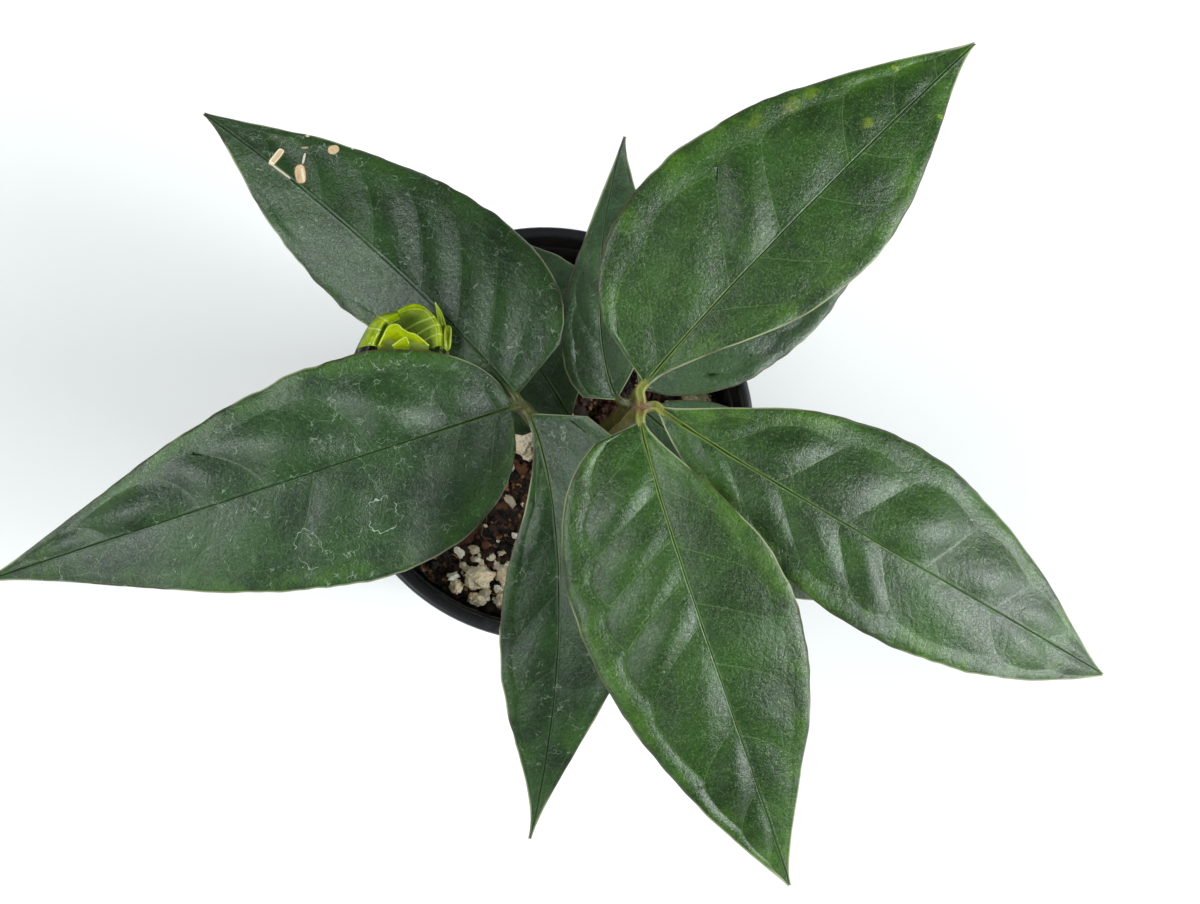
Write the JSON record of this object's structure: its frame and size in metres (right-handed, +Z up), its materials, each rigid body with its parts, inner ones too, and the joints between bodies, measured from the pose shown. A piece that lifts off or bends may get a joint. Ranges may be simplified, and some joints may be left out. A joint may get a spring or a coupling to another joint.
{
  "type": "potted anthurium",
  "caption": "Young potted anthurium with pointed three-part leaves on thin stalks over a round plastic nursery pot of chunky bark mix.",
  "frame": {"origin": "centre of the pot's base, on the surface that it stands on", "axes": "+Z up; seen from above, +X to the right and +Y to the back of the view the plant was drawn from"},
  "size_m": [0.254, 0.1874, 0.1694],
  "materials": {
    "pot": "satin black",
    "mix": "damp bark and peat, rough",
    "pumice": "rough, chalky",
    "bark": "rough",
    "stem": "matt, ringed",
    "stalk": "satin olive",
    "old_leaf": "satin, scratched",
    "top_leaf": "satin",
    "under_leaf": "satin",
    "new_leaf": "glossy, thin and fresh",
    "bract": "dry, fibrous"
  },
  "bodies": {
    "root": {"pot": "pot", "soil": "mix", "pumice_1": "pumice", "pumice_2": "pumice", "pumice_3": "pumice", "pumice_4": "pumice", "pumice_5": "pumice", "pumice_6": "pumice", "pumice_7": "pumice", "pumice_8": "pumice", "pumice_9": "pumice", "bark_chip_1": "bark", "bark_chip_2": "bark", "bark_chip_3": "bark", "bark_chip_4": "bark", "stem": "stem", "left_leaf_stalk": "stalk", "right_leaf_stalk": "stalk", "under_leaf_stalk": "stalk", "low_leaf_stalk": "stalk", "new_leaf_stalk": "stalk", "left_leaf_upper_leaflet": "old_leaf", "left_leaf_middle_leaflet": "old_leaf", "left_leaf_lower_leaflet": "old_leaf", "right_leaf_upper_leaflet": "top_leaf", "right_leaf_middle_leaflet": "top_leaf", "right_leaf_lower_leaflet": "top_leaf", "under_leaf_upper_leaflet": "under_leaf", "under_leaf_middle_leaflet": "under_leaf", "under_leaf_lower_leaflet": "under_leaf", "low_leaf_blade": "under_leaf", "new_leaf_middle_leaflet": "new_leaf", "new_leaf_narrow_leaflet": "new_leaf", "new_leaf_small_leaflet": "new_leaf", "bract_1": "bract", "bract_2": "bract"}
  },
  "joints": []
}
